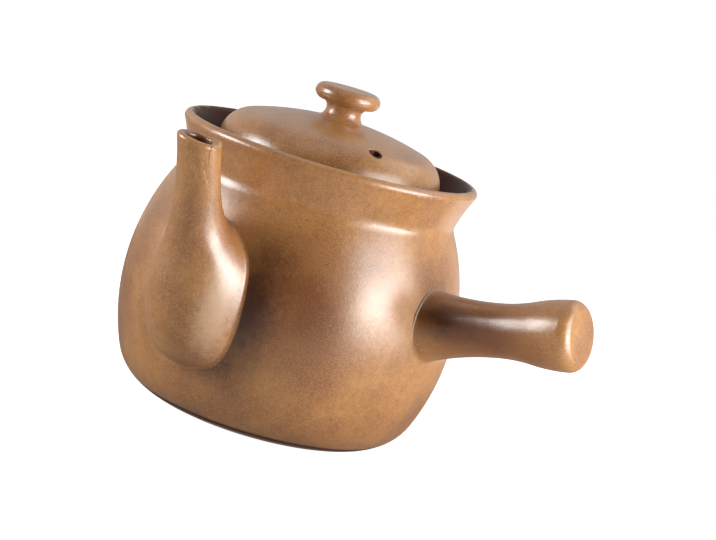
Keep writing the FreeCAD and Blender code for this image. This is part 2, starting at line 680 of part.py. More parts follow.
def make_knob():
    body = solid_body("lid_knob")
    outline = Outline(body, "XZ_Plane", "knob_outline")
    dome, edge = size("dome_arc"), size("knob_edge_radius")
    neck_x, throat, foot = (size("knob_neck_radius"), size("knob_throat_arc"),
                            size("knob_foot_arc"))
    centre = worked_out(dome_centre)
    crown = centre + dome
    disc_height = crown + size("knob_rise")
    edge_centre = (size("knob_radius") - edge, disc_height)
    under = disc_height - edge
    neck_height = under - throat
    throat_centre = (neck_x + throat, neck_height)
    foot_centre = (neck_x + foot, neck_height)
    # where the foot's arc meets the dome
    drop = neck_height - centre
    span = math.hypot(foot_centre[0], drop)
    lean = math.acos((dome ** 2 + span ** 2 - foot ** 2) / (2 * dome * span))
    meet_angle = math.atan2(drop, foot_centre[0]) + lean
    meet = (dome * math.cos(meet_angle), centre + dome * math.sin(meet_angle))
    foot_angle = math.atan2(meet[1] - foot_centre[1], meet[0] - foot_centre[0])
    dish = size("knob_dish_arc")
    dish_centre = disc_height + edge + math.sqrt(dish ** 2 - edge_centre[0] ** 2)
    dish_angle = math.asin(edge_centre[0] / dish)

    seat = outline.arc((0, centre), dome, meet_angle, math.pi / 2)
    flare = outline.arc(foot_centre, foot, math.pi, foot_angle + 2 * math.pi)
    groove = outline.arc(throat_centre, throat, math.pi / 2, math.pi)
    underside = outline.line((throat_centre[0], under), (edge_centre[0], under))
    rim = outline.arc(edge_centre, edge, -math.pi / 2, math.pi / 2)
    hollow = outline.arc((0, dish_centre), dish, -math.pi / 2, -math.pi / 2 + dish_angle)
    axis = outline.line((0, crown), (0, dish_centre - dish))
    outline.rule("PointOnObject", seat, centre_point, upright_axis)
    outline.rule("PointOnObject", seat, end_point, upright_axis)
    outline.radius(seat, "dome_arc", dome)
    outline.above(seat, end_point, crown_height, crown)
    outline.join(seat, start_point, flare, end_point)
    outline.radius(flare, "knob_foot_arc", foot)
    outline.blend(flare, start_point, groove, end_point)
    outline.rule("Horizontal", flare, centre_point, flare, start_point)
    outline.radius(groove, "knob_throat_arc", throat)
    outline.across(groove, end_point, "knob_neck_radius", neck_x)
    outline.blend(groove, start_point, underside, start_point)
    outline.level(underside)
    outline.blend(underside, end_point, rim, start_point)
    outline.radius(rim, "knob_edge_radius", edge)
    outline.across(rim, centre_point, "knob_radius - knob_edge_radius", edge_centre[0])
    outline.above(rim, centre_point, crown_height + " + knob_rise", disc_height)
    outline.rule("Vertical", rim, centre_point, rim, end_point)
    outline.join(rim, end_point, hollow, end_point)
    outline.radius(hollow, "knob_dish_arc", dish)
    outline.rule("PointOnObject", hollow, centre_point, upright_axis)
    outline.rule("PointOnObject", hollow, start_point, upright_axis)
    outline.join(axis, start_point, seat, end_point)
    outline.join(axis, end_point, hollow, start_point)
    revolve(body, outline, "knob_turned", "V_Axis")
    return body


pot_form = make_pot_form()
pieces = [make_pot_body(), make_spout(pot_form), make_handle(pot_form), make_lid(), make_knob()]
doc.recompute()

for item in doc.Objects:
    if "Invalid" in item.State or "Error" in item.State:
        raise RuntimeError("%s is %s" % (item.Label, item.State))
for piece in pieces:
    if piece.Shape.isNull() or not piece.Shape.isValid() or len(piece.Shape.Solids) != 1:
        raise RuntimeError("%s is not one sound solid" % piece.Label)

os.makedirs("parts", exist_ok=True)
for piece in pieces:
    piece.Shape.exportStep("parts/%s.step" % piece.Label)
    box = piece.Shape.BoundBox
    print("%-10s %8.1f cm3  x %6.1f %6.1f  y %7.1f %6.1f  z %6.1f %6.1f" % (
        piece.Label, piece.Shape.Volume / 1000, box.XMin, box.XMax, box.YMin, box.YMax,
        box.ZMin, box.ZMax))
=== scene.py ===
import math

import bmesh
import bpy
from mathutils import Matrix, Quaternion, Vector
from mathutils.bvhtree import BVHTree


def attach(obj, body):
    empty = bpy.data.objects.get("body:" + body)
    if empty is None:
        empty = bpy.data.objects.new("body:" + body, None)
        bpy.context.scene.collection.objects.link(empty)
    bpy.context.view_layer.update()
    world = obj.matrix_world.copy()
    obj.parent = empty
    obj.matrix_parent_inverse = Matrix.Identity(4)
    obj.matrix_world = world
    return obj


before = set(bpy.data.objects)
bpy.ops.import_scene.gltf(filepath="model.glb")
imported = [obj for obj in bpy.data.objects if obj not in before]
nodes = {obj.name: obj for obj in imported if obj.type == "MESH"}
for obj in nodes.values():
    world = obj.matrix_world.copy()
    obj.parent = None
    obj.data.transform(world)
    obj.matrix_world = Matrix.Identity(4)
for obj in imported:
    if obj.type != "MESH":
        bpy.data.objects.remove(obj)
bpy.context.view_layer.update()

mm = 0.001


# Colours are written as sRGB hex and used as linear.
def linear(hexColour):
    channels = [int(hexColour[i:i + 2], 16) / 255 for i in (1, 3, 5)]
    return (*[c / 12.92 if c <= 0.04045 else ((c + 0.055) / 1.055) ** 2.4 for c in channels], 1.0)


# Adds one node: its own settings, then each input as a value or as the socket that feeds it.
def addNode(tree, kind, settings=None, inputs=None):
    node = tree.nodes.new("ShaderNode" + kind)
    for name, value in (settings or {}).items():
        setattr(node, name, value)
    for name, value in (inputs or {}).items():
        if isinstance(value, bpy.types.NodeSocket):
            tree.links.new(value, node.inputs[name])
        else:
            node.inputs[name].default_value = value
    return node


def emptyMaterial(name):
    material = bpy.data.materials.new(name)
    material.use_nodes = True
    material.node_tree.nodes.clear()
    return material


def dress(piece, material):
    piece.data.materials.clear()
    piece.data.materials.append(material)


def pieceFrom(shape, name):
    mesh = bpy.data.meshes.new(name)
    shape.to_mesh(mesh)
    shape.free()
    piece = bpy.data.objects.new(name, mesh)
    bpy.context.scene.collection.objects.link(piece)
    return piece


# The rounds of the pot's profile, in millimetres out from its axis and up from the table.
profile = {
    "bellyCentre": (-28.6, 58.0),
    "bellyArc": 113.0,
    "collarCentre": (154.2, 96.2),
    "spoutNeck": (100.5, 112.0),    # two places on the line up the middle of the spout's neck
    "spoutMouth": (111.0, 137.0),
    "vent": (38.8, -24.2),          # across the pot, a little aside, with painted shade round its edge
}

# The clay of the whole pot: iron-bearing stoneware, thrown, burnished while leather hard and fired
# without glaze outside, so it has a waxy sheen over a fine grain. Every size is in millimetres.
clay = {
    "body": "#bc8145",          # the fired clay where nothing marked it
    "toasted": "#8a4f25",       # redder patches where the flame went past
    "pale": "#d1ab7d",          # the clay's own grit
    "iron": "#4a2a18",          # specks of iron that burst in the kiln
    "deepPaintedShade": "#451f0c",      # painted shade, deep: where the spout and the handle shade the wall
    "redPaintedShade": "#6c3513",       # painted shade, redder: on the front of the belly, the near side of the handle and inside the spout's mouth
    "paintedLight": "#ddbc9e",         # painted light: paler where light falls on the spout's lower flank and round the shaded foot
    "marks": (),                # which of the marks of painted shade and painted light are on the piece
    "smoothest": 0.47,          # roughness between the grit
    "roughest": 0.60,           # and on it
    "ior": 1.52,
    "specular": 0.12,
    "burnish": 1.0,             # share of the skin that the burnishing stone closed
    "burnishRoughness": 0.30,
    "burnishIor": 1.9,
    "peelWidth": 2.6,           # ripple of the burnished skin
    "ringSpacing": 4.6,         # throwing rings left by the fingers
    "ringSway": 0.05,           # how much they change on the way round
    "grainDepth": 0.05,
    "peelDepth": 0.05,
    "ringDepth": 0.035,
}

clayPatterns = {
    # Each lies over the one before: its texture and settings, its width in millimetres, the colour
    # it brings, where in the texture that starts and is whole, and how much of it then shows.
    "patches": ("TexNoise", {"Detail": 2.0, "Roughness": 0.55}, 34.0, "toasted", (0.42, 0.68), 0.8),
    "mottle": ("TexNoise", {"Detail": 3.0, "Roughness": 0.6}, 4.0, "toasted", (0.35, 0.75), 0.5),
    # real grit is nearer 0.3, drawn coarser so that it shows
    "grain": ("TexNoise", {"Detail": 2.0, "Roughness": 0.7}, 0.8, "pale", (0.44, 0.72), 0.55),
    # a speck is the middle of a cell
    "specks": ("TexVoronoi", {"Randomness": 1.0}, 6.5, "iron", (0.09, 0.05), 0.6),
}

# Marks of painted shade and painted light, each a soft egg in space: its middle, its half widths,
# its colour, how strong it is and how soft its edge.
paintedShadeAndLight = {
    # painted shade beside and under the spout, where the spout shades the wall
    "beside spout": ((30.0, -81.0, 65.0), (22.0, 25.0, 58.0), "deepPaintedShade", 0.96, 0.95),
    "under spout": ((14.0, -84.0, 34.0), (26.0, 14.0, 13.0), "deepPaintedShade", 0.5, 0.9),
    # painted shade on the front of the belly, which the lamps don't reach
    "belly front": ((50.0, -66.0, 72.0), (38.0, 31.0, 48.0), "redPaintedShade", 0.68, 1.0),
    # painted shade in the corner at the handle's root
    "handle root": ((92.0, -16.0, 84.0), (30.0, 15.0, 15.0), "deepPaintedShade", 0.85, 0.95),
    # painted shade on the near side of the handle, which the lamps don't reach
    "handle side": ((112.0, -14.0, 82.0), (50.0, 24.0, 26.0), "redPaintedShade", 0.7, 0.9),
    # painted light on the spout's lower flank
    "spout flank": ((20.0, -90.0, 62.0), (13.0, 15.0, 38.0), "paintedLight", 0.6, 0.9),
    # painted shade inside the spout's mouth
    "mouth": ((-1.5, -110.8, 136.2), (8.3, 8.3, 6.0), "redPaintedShade", 0.85, 0.25),
    # painted light round the foot, where the turned-under edge is in shade
    "foot": ((0.0, 0.0, -2.0), (90.0, 90.0, 6.5), "paintedLight", 0.7, 0.5),
}

# A mark's edge, for a softness of one: how far the mottling frays it, and how far outside and
# inside the egg it fades, in half widths.
markEdge = {"fray": 0.6, "outside": 0.3, "inside": 0.7}


# The clay's colour with its patterns and its marks of painted shade and painted light, and the
# grain by itself for the bumps.
def clayColour(tree, place, mixed):
    colour, drawn = linear(mixed["body"]), {}
    for name, (kind, settings, width, hue, (start, whole), most) in clayPatterns.items():
        texture = addNode(tree, kind, inputs={
            "Vector": place, "Scale": 1 / (width * mm), **settings})
        drawn[name] = texture.outputs[0]
        share = addNode(tree, "MapRange", inputs={
            "Value": drawn[name], "From Min": start, "From Max": whole, "To Max": most})
        laid = addNode(tree, "Mix", {"data_type": "RGBA"}, {
            "Factor": share.outputs["Result"], 6: colour, 7: linear(mixed[hue])})
        colour = laid.outputs[2]
    # the marks lay painted shade and painted light over the clay
    for mark in mixed["marks"]:
        centre, radii, hue, most, soft = paintedShadeAndLight[mark]
        moved = addNode(tree, "VectorMath", {"operation": "SUBTRACT"}, {
            0: place, 1: [c * mm for c in centre]})
        scaled = addNode(tree, "VectorMath", {"operation": "DIVIDE"}, {
            0: moved.outputs[0], 1: [r * mm for r in radii]})
        far = addNode(tree, "VectorMath", {"operation": "LENGTH"}, {0: scaled.outputs[0]})
        frayed = addNode(tree, "Math", {"operation": "MULTIPLY_ADD"}, {
            0: drawn["mottle"], 1: markEdge["fray"] * soft, 2: far.outputs["Value"]})
        share = addNode(tree, "MapRange", {"interpolation_type": "SMOOTHSTEP"}, {
            "Value": frayed.outputs[0], "From Min": 1 + markEdge["outside"] * soft,
            "From Max": 1 - markEdge["inside"] * soft, "To Max": most})
        laid = addNode(tree, "Mix", {"data_type": "RGBA"}, {
            "Factor": share.outputs["Result"], 6: colour, 7: linear(mixed[hue])})
        colour = laid.outputs[2]
    return colour, drawn["grain"]


# The liquid-proof slip inside the pot, the spout and the lid: thin, iron-rich and fired nearly
# black brown. Round the lid's vent its colour is painted shade, so the hole looks bigger and
# darker.
lining = {
    "thick": "#3a1d10",
    "thin": "#6b3519",
    "roughness": 0.42,
    "burnish": 0.12,            # brushed on after the burnishing, so it is duller
    "wanderWidth": 7.0,
    "wander": 1.4,              # how unevenly the brush stopped
    # where the slip stops and where it is whole, each in millimetres
    "collar": (92.0, 93.0),     # out from the middle of the collar's round
    "collarFoot": (110.0, 112.0),
    "belly": (110.8, 109.8),    # out from the middle of the belly's round
    "bellyFoot": (3.0, 4.0),
    "bellyTop": (117.5, 116.5),
    "neck": (7.95, 7.25),       # out from the line up the middle of the spout's neck
    "neckFoot": (103.0, 105.0),
    "neckTop": (130.5, 125.5),
    "lid": (51.1, 49.9),        # out from the middle of the lid
    "vent": (3.65, 3.35),       # out from the middle of the vent: a ring of painted shade in the slip's colour
    "facing": (-0.05, -0.25),   # how far down the lid's skin looks, from nought to minus one
}


# How far out a place is from an upright axis and how high above the table.
def reachAndHeight(tree, place, axis=(0.0, 0.0)):
    moved = addNode(tree, "VectorMath", {"operation": "SUBTRACT"}, {
        0: place, 1: (axis[0] * mm, axis[1] * mm, 0.0)})
    flat = addNode(tree, "VectorMath", {"operation": "MULTIPLY"}, {
        0: moved.outputs[0], 1: (1, 1, 0)})
    reach = addNode(tree, "VectorMath", {"operation": "LENGTH"}, {0: flat.outputs[0]})
    height = addNode(tree, "SeparateXYZ", inputs={0: place})
    return reach.outputs["Value"], height.outputs["Z"]


# How far a place is from the middle of a round of the pot's profile.
def fromRound(tree, reach, height, centre):
    out = addNode(tree, "CombineXYZ", inputs={0: reach, 2: height})
    far = addNode(tree, "VectorMath", {"operation": "DISTANCE"}, {
        0: out.outputs[0], 1: (centre[0] * mm, 0.0, centre[1] * mm)})
    return far.outputs["Value"]


# One where slip was brushed on and nought elsewhere. Each limit is a distance and its name in the
# lining, and the slip is inside all of them.
def brushedWithin(tree, limits):
    share = None
    for distance, name in limits:
        stops, whole = lining[name]
        step = addNode(tree, "MapRange", {"interpolation_type": "SMOOTHSTEP"}, {
            "Value": distance, "From Min": stops * mm, "From Max": whole * mm})
        if share is None:
            share = step.outputs["Result"]
        else:
            both = addNode(tree, "Math", {"operation": "MULTIPLY"}, {
                0: share, 1: step.outputs["Result"]})
            share = both.outputs[0]
    return share


# Where the slip is on each piece, from nought to one. Its edge wanders with a slow noise.
def liningOnPot(tree, place, wander):
    reach, height = reachAndHeight(tree, place)
    beyond = addNode(tree, "Math", {"operation": "ADD"}, {
        0: fromRound(tree, reach, height, profile["collarCentre"]), 1: wander})
    upper = brushedWithin(tree, [(beyond.outputs[0], "collar"), (height, "collarFoot")])
    lower = brushedWithin(tree, [
        (fromRound(tree, reach, height, profile["bellyCentre"]), "belly"),
        (height, "bellyFoot"), (height, "bellyTop")])
    either = addNode(tree, "Math", {"operation": "MAXIMUM"}, {0: upper, 1: lower})
    return either.outputs[0]


def liningInSpout(tree, place, wander):
    # the neck leans out, so the axis is followed by taking its lean off the place first
    low, high = profile["spoutNeck"], profile["spoutMouth"]
    lean = (high[0] - low[0]) / (high[1] - low[1])
    parts = addNode(tree, "SeparateXYZ", inputs={0: place})
    back = addNode(tree, "Math", {"operation": "MULTIPLY_ADD"}, {
        0: parts.outputs["Z"], 1: lean, 2: (low[0] - low[1] * lean) * mm})
    level = addNode(tree, "Math", {"operation": "ADD"}, {
        0: parts.outputs["Y"], 1: back.outputs[0]})
    flat = addNode(tree, "CombineXYZ", inputs={0: parts.outputs["X"], 1: level.outputs[0]})
    reach = addNode(tree, "VectorMath", {"operation": "LENGTH"}, {0: flat.outputs[0]})
    out = addNode(tree, "Math", {"operation": "ADD"}, {0: reach.outputs["Value"], 1: wander})
    up = addNode(tree, "Math", {"operation": "ADD"}, {0: parts.outputs["Z"], 1: wander})
    return brushedWithin(tree, [
        (out.outputs[0], "neck"), (up.outputs[0], "neckFoot"), (up.outputs[0], "neckTop")])


# The lid is lined wherever its skin looks down inside the ring it sits on, and round its vent the
# slip's colour is painted shade.
def liningAndVentShadeInLid(tree, place, wander):
    geometry = addNode(tree, "NewGeometry")
    facing = addNode(tree, "SeparateXYZ", inputs={0: geometry.outputs["Normal"]})
    down = addNode(tree, "MapRange", inputs={
        "Value": facing.outputs["Z"], "From Min": lining["facing"][0],
        "From Max": lining["facing"][1]})
    out = addNode(tree, "Math", {"operation": "ADD"}, {
        0: reachAndHeight(tree, place)[0], 1: wander})
    hollow = addNode(tree, "Math", {"operation": "MULTIPLY"}, {
        0: down.outputs["Result"], 1: brushedWithin(tree, [(out.outputs[0], "lid")])})
    # painted shade round the vent, in the slip's dark colour and duller sheen
    vent = brushedWithin(tree, [(reachAndHeight(tree, place, profile["vent"])[0], "vent")])
    either = addNode(tree, "Math", {"operation": "MAXIMUM"}, {0: hollow.outputs[0], 1: vent})
    return either.outputs[0]


# Burnished stoneware: satin sheen broken up by grit, over soft throwing rings.
def burnishedStoneware(name, changes=None, rings="bands", lined=None):
    mixed = dict(clay, **(changes or {}))
    material = emptyMaterial(name)
    tree = material.node_tree
    place = addNode(tree, "TexCoord").outputs["Object"]
    colour, grain = clayColour(tree, place, mixed)
    peel = addNode(tree, "TexNoise", inputs={
        "Vector": place, "Scale": 1 / (mixed["peelWidth"] * mm), "Detail": 1.0})
    reach, height = reachAndHeight(tree, place)
    drawn = addNode(tree, "Mapping", inputs={"Vector": place, "Scale": [mixed["ringSway"]] * 3})
    turned = addNode(tree, "CombineXYZ", inputs={2: reach if rings == "round" else height})
    wheel = addNode(tree, "VectorMath", {"operation": "ADD"}, {
        0: drawn.outputs[0], 1: turned.outputs[0]})
    ring = addNode(tree, "TexNoise", inputs={
        "Vector": wheel.outputs[0], "Scale": 1 / (mixed["ringSpacing"] * mm), "Detail": 1.0})
    bumps = None
    for relief, depth in ((ring.outputs["Fac"], "ringDepth"), (peel.outputs["Fac"], "peelDepth"),
                          (grain, "grainDepth")):
        inputs = {"Height": relief, "Distance": mixed[depth] * mm, "Strength": 1.0}
        if bumps:
            inputs["Normal"] = bumps.outputs["Normal"]
        bumps = addNode(tree, "Bump", inputs=inputs)
    rough = addNode(tree, "MapRange", inputs={
        "Value": grain, "To Min": mixed["smoothest"], "To Max": mixed["roughest"]})
    roughness, burnish = rough.outputs["Result"], mixed["burnish"]
    # the slip lining; on the lid this also lays the painted shade round the vent
    if lined:
        brush = addNode(tree, "TexNoise", inputs={
            "Vector": place, "Scale": 1 / (lining["wanderWidth"] * mm), "Detail": 2.0})
        wander = addNode(tree, "MapRange", inputs={
            "Value": brush.outputs["Fac"], "To Min": -lining["wander"] * mm,
            "To Max": lining["wander"] * mm})
        share = lined(tree, place, wander.outputs["Result"])
        slip = addNode(tree, "Mix", {"data_type": "RGBA"}, {
            "Factor": brush.outputs["Fac"], 6: linear(lining["thick"]),
            7: linear(lining["thin"])})
        coloured = addNode(tree, "Mix", {"data_type": "RGBA"}, {
            "Factor": share, 6: colour, 7: slip.outputs[2]})
        smoothed = addNode(tree, "Mix", {"data_type": "FLOAT"}, {
            0: share, 2: roughness, 3: lining["roughness"]})
        dulled = addNode(tree, "Mix", {"data_type": "FLOAT"}, {
            0: share, 2: burnish, 3: lining["burnish"]})
        colour, roughness, burnish = coloured.outputs[2], smoothed.outputs[0], dulled.outputs[0]
    shader = addNode(tree, "BsdfPrincipled", inputs={
        "Base Color": colour, "Roughness": roughness, "IOR": mixed["ior"],
        "Specular IOR Level": mixed["specular"], "Coat Weight": burnish,
        "Coat Roughness": mixed["burnishRoughness"], "Coat IOR": mixed["burnishIor"],
        "Normal": bumps.outputs["Normal"], "Coat Normal": bumps.outputs["Normal"]})
    addNode(tree, "OutputMaterial", inputs={"Surface": shader.outputs["BSDF"]})
    return material


# The body, spout and handle carry marks of painted shade and painted light over the clay's own
# colour.
clayOf = {
    "pot_body": burnishedStoneware("burnished stoneware, slip lined", {
        "marks": ["belly front", "beside spout", "under spout", "foot"]}, lined=liningOnPot),
    "spout": burnishedStoneware("burnished stoneware, slip in spout", {
        "marks": ["spout flank", "mouth"]}, lined=liningInSpout),
    "handle": burnishedStoneware("burnished stoneware, handle", {
        "marks": ["handle side", "handle root"]}),
    "lid": burnishedStoneware("burnished stoneware, lid", {
        "ringDepth": 0.09, "ringSpacing": 3.2}, "round", liningAndVentShadeInLid),
    "lid_knob": burnishedStoneware("burnished stoneware, knob", rings="round"),
}
for node, material in clayOf.items():
    dress(nodes[node], material)
print("clay: five pieces dressed")


# Skins a run of sections, each a ring of places, into one piece of clay. A run that doesn't come
# back to its start gets a face at each end.
def clayStrip(name, sections, comesBack):
    shape = bmesh.new()
    rows = [[shape.verts.new(place) for place in section] for section in sections]
    for a, b in zip(rows, rows[1:] + rows[:1] if comesBack else rows[1:]):
        for k in range(len(a)):
            n = (k + 1) % len(a)
            shape.faces.new((a[k], b[k], b[n], a[n]))
    if not comesBack:
        shape.faces.new(rows[0])
        shape.faces.new(reversed(rows[-1]))
    bmesh.ops.recalc_face_normals(shape, faces=shape.faces)
    for face in shape.faces:
        face.smooth = True
    return pieceFrom(shape, name)


# Seams: the strips of soft clay pressed into the corners where the spout and the handle are luted
# on. Sizes are in millimetres.
seams = {
    # widths on the belly and up the piece and the tool's ridge, and which way from the middle of
    # the seam the ridge and the widest part of the fillet are
    "spout": {"onBelly": 1.5, "onPiece": 2.2, "ridge": 0.22, "ridgeAt": (-0.93, 0.0, -0.37),
              "wideAt": (0.0, 0.0, 1.0), "marks": []},
    # the handle's seam carries the painted shade of the handle's side and root
    "handle": {"onBelly": 1.5, "onPiece": 2.2, "ridge": 0.75, "ridgeAt": (0.0, -0.83, 0.56),
               "wideAt": (0.0, 0.2, 0.98), "marks": ["handle side", "handle root"]},
}

seamClay = {
    "points": 220,              # sections on the way round
    "steps": 8,                 # faces across the fillet
    "ironings": 4,              # rounds that take the facets of the mesh below out of the line
    "waves": ((3, 1.0, 0.12), (7, 0.4, 0.07), (17, 0.0, 0.04)),     # times round, start, share
    "narrowest": 0.8,           # share of the width where the fillet is narrowest
    "widening": 0.9,            # what its widest part adds to that
    "wideFade": 4,              # how fast the widest part and the ridge fade on the way round
    "ridgeFade": 5,
    "ridgeRun": 2.2,            # the ridge takes one part in this many of the fillet
    "buried": 0.5,              # how deep the seam's root lies in the clay
    "footTucks": ((0.5, 0.25), (0.2, 0.04)),    # past its edges and under the skin there
    "topTucks": ((0.2, 0.03), (0.6, 0.25)),
    "weld": 0.002,              # points of the mesh that are nearer than this are one
    "touching": 0.02,           # and those nearer the belly than this lie on it
}


# How far a place is outside the belly, in metres, and the way that points straight out of it.
def fromBelly(place):
    across = math.hypot(place.x, place.y)
    centre = profile["bellyCentre"]
    out, up = across - centre[0] * mm, place.z - centre[1] * mm
    far = math.hypot(out, up)
    outward = Vector((place.x / across * out, place.y / across * out, up)) / far
    return far - profile["bellyArc"] * mm, outward


def ontoBelly(place):
    for turn in range(3):           # each round lands nearer, and the third is as near as it gets
        gap, outward = fromBelly(place)
        place = place - outward * gap
    return place


# The closed line along which a piece leaves the belly, as evenly spaced points, and the piece's
# skin without the hidden face that lies against the belly.
def rootLine(node):
    shape = bmesh.new()
    shape.from_mesh(nodes[node].data)
    bmesh.ops.remove_doubles(shape, verts=shape.verts, dist=seamClay["weld"] * mm)
    shape.verts.ensure_lookup_table()
    touches = [abs(fromBelly(v.co)[0]) < seamClay["touching"] * mm for v in shape.verts]
    seat = {f for f in shape.faces if all(touches[v.index] for v in f.verts)}
    border = [e for e in shape.edges
              if sum(f in seat for f in e.link_faces) == 1 and len(e.link_faces) == 2]
    nextTo = {}
    for edge in border:
        a, b = edge.verts
        nextTo.setdefault(a, []).append(b)
        nextTo.setdefault(b, []).append(a)
    loops, left = [], set(nextTo)
    while left:
        vert = min(left, key=lambda v: v.index)
        loop = []
        while vert is not None:
            loop.append(vert.co.copy())
            left.discard(vert)
            vert = next((v for v in nextTo[vert] if v in left), None)
        loops.append(loop)
    longest = max(loops, key=lambda loop: sum(
        (a - b).length for a, b in zip(loop, loop[1:] + loop[:1])))
    skin = BVHTree.FromPolygons([v.co.copy() for v in shape.verts],
                                [[v.index for v in f.verts] for f in shape.faces if f not in seat])
    shape.free()
    return evenly(longest, seamClay["points"]), skin


def evenly(loop, count):
    closed = loop + loop[:1]
    marks = [0.0]
    for a, b in zip(closed, closed[1:]):
        marks.append(marks[-1] + (b - a).length)
    points, k = [], 0
    for i in range(count):
        at = marks[-1] * i / count
        while marks[k + 1] < at:
            k += 1
        share = (at - marks[k]) / (marks[k + 1] - marks[k])
        points.append(closed[k].lerp(closed[k + 1], share))
    for turn in range(seamClay["ironings"]):
        points = [(points[i - 1] + points[i] * 2 + points[(i + 1) % count]) / 4
                  for i in range(count)]
    return points


def makeSeam(node):
    sizes = seams[node]
    line, skin = rootLine(node)
    count = len(line)
    middle = sum(line, Vector()) / count
    sections = []
    for i, point in enumerate(line):
        along = (line[(i + 1) % count] - line[i - 1]).normalized()
        outward = fromBelly(point)[1]
        away = along.cross(outward).normalized()
        if away.dot(point - middle) < 0:
            away = -away
        turn = 2 * math.pi * i / count
        side = (point - middle).normalized()
        uneven = 1
        for times, start, share in seamClay["waves"]:
            uneven += share * math.sin(times * turn + start)
        wide = max(0.0, side.dot(Vector(sizes["wideAt"]))) ** seamClay["wideFade"]
        uneven *= seamClay["narrowest"] + seamClay["widening"] * wide
        foot = ontoBelly(point + away * sizes["onBelly"] * uneven * mm)
        footOut = fromBelly(foot)[1]
        top, topOut = skin.find_nearest(point + outward * sizes["onPiece"] * uneven * mm)[:2]
        if topOut.dot(away) < 0:
            topOut = -topOut
        ridge = max(0.0, side.dot(Vector(sizes["ridgeAt"]))) ** seamClay["ridgeFade"]
        rise = sizes["ridge"] * mm * ridge
        deep = seamClay["buried"]
        section = [point - outward * deep * mm - away * deep * mm]
        for past, under in seamClay["footTucks"]:
            section.append(foot + away * past * mm - footOut * under * mm)
        for step in range(seamClay["steps"] + 1):
            t = step / seamClay["steps"]
            place = foot * (1 - t) ** 2 + point * 2 * t * (1 - t) + top * t ** 2
            hump = math.sin(math.pi * min(1.0, t * seamClay["ridgeRun"])) ** 2
            section.append(place + footOut * rise * hump)
        upward = (top - point).normalized()
        for past, under in seamClay["topTucks"]:
            section.append(top + upward * past * mm - topOut * under * mm)
        sections.append(section)
    seam = clayStrip(node + "_seam", sections, comesBack=True)
    dress(seam, burnishedStoneware("luting clay, " + node, {"marks": sizes["marks"]}))
    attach(seam, "pot")


for node in seams:
    makeSeam(node)
print("seams: spout and handle luted to the wall")


# Beads: clay that the fingers left standing on the skin, each laid along a line of points. First
# come the piece it lies on, its body, its slot and what is changed in its clay. A point is where
# it is, in millimetres, then half the bead's width and how high it stands there.
beads = {
    "spout_lip": ("spout", "pot", "body_clay", {}, [
        (-4.0, -103.4, 137.6, 0.6, -0.1), (-1.0, -102.5, 137.2, 1.6, 0.35),
        (2.6, -103.0, 137.0, 2.6, 1.2), (5.6, -104.6, 136.6, 3.1, 1.7),
        (7.8, -107.2, 136.2, 2.6, 1.4), (9.0, -110.2, 135.9, 1.4, 0.6),
        (9.9, -112.6, 134.6, 0.8, 0.3), (10.2, -112.8, 132.0, 0.6, 0.2),
        (10.2, -111.6, 128.0, 0.5, 0.14), (10.3, -110.0, 124.0, 0.4, -0.1)]),
    "spout_drip": ("spout", "pot", "body_clay", {}, [
        (5.6, -116.6, 131.0, 0.5, -0.1), (6.2, -115.4, 128.6, 1.1, 0.1),
        (6.6, -113.9, 126.0, 1.5, 0.22), (6.9, -113.2, 124.0, 1.1, 0.13),
        (7.6, -111.6, 121.8, 1.6, 0.24), (8.0, -110.6, 119.8, 1.2, 0.14),
        (8.7, -108.7, 117.9, 1.3, 0.18), (9.2, -107.2, 115.8, 0.5, -0.1)]),
    "spout_drip_2": ("spout", "pot", "body_clay", {}, [
        (3.4, -116.4, 127.0, 0.4, -0.1), (4.0, -115.0, 124.6, 0.9, 0.16),
        (4.6, -113.6, 122.0, 1.1, 0.2), (5.0, -112.4, 119.6, 0.8, 0.12),
        (5.4, -111.1, 117.0, 0.4, -0.1)]),
    # rubbed paler than the lid round it
    "vent_lip": ("lid", "lid", "lid_clay", {"body": "#b98a5a", "toasted": "#a3703f"}, [
        (41.0, -20.2, 146.4, 0.3, -0.1), (39.4, -19.6, 146.8, 0.6, 0.3),
        (37.6, -19.9, 147.2, 0.8, 0.5), (35.9, -21.0, 147.5, 0.9, 0.55),
        (34.9, -22.8, 147.6, 0.8, 0.45), (34.8, -24.6, 147.3, 0.6, 0.25),
        (35.6, -26.3, 146.9, 0.3, -0.1)]),
}

beadClay = {
    "steps": 8,                 # faces across a bead
    "rows": 8,                  # rows of them between one point of its line and the next
    "spread": 1.3,              # its edges run out this many half widths from its line
    "crown": 1.3,               # how pointed its crown is
    "buried": 0.6,              # how deep its root lies in the clay
    "sunk": 0.02,               # how far all of its skin is let in
    "tucked": 0.05,             # and its edges more than that
    "lumps": (0.18, 1.7, 0.61, 1.0),    # how uneven it is, two paces along it and a start
}


# A smooth run through a bead's points, by Catmull and Rom's rule.
def smoothRun(points):
    ends = [points[0], *points, points[-1]]
    run = []
    for a, b, c, d in zip(ends, ends[1:], ends[2:], ends[3:]):
        for step in range(beadClay["rows"]):
            t = step / beadClay["rows"]
            run.append([0.5 * (2 * q + (r - p) * t + (2 * p - 5 * q + 4 * r - s) * t ** 2
                               + (3 * q - p - 3 * r + s) * t ** 3)
                        for p, q, r, s in zip(a, b, c, d)])
    return run + [list(points[-1])]


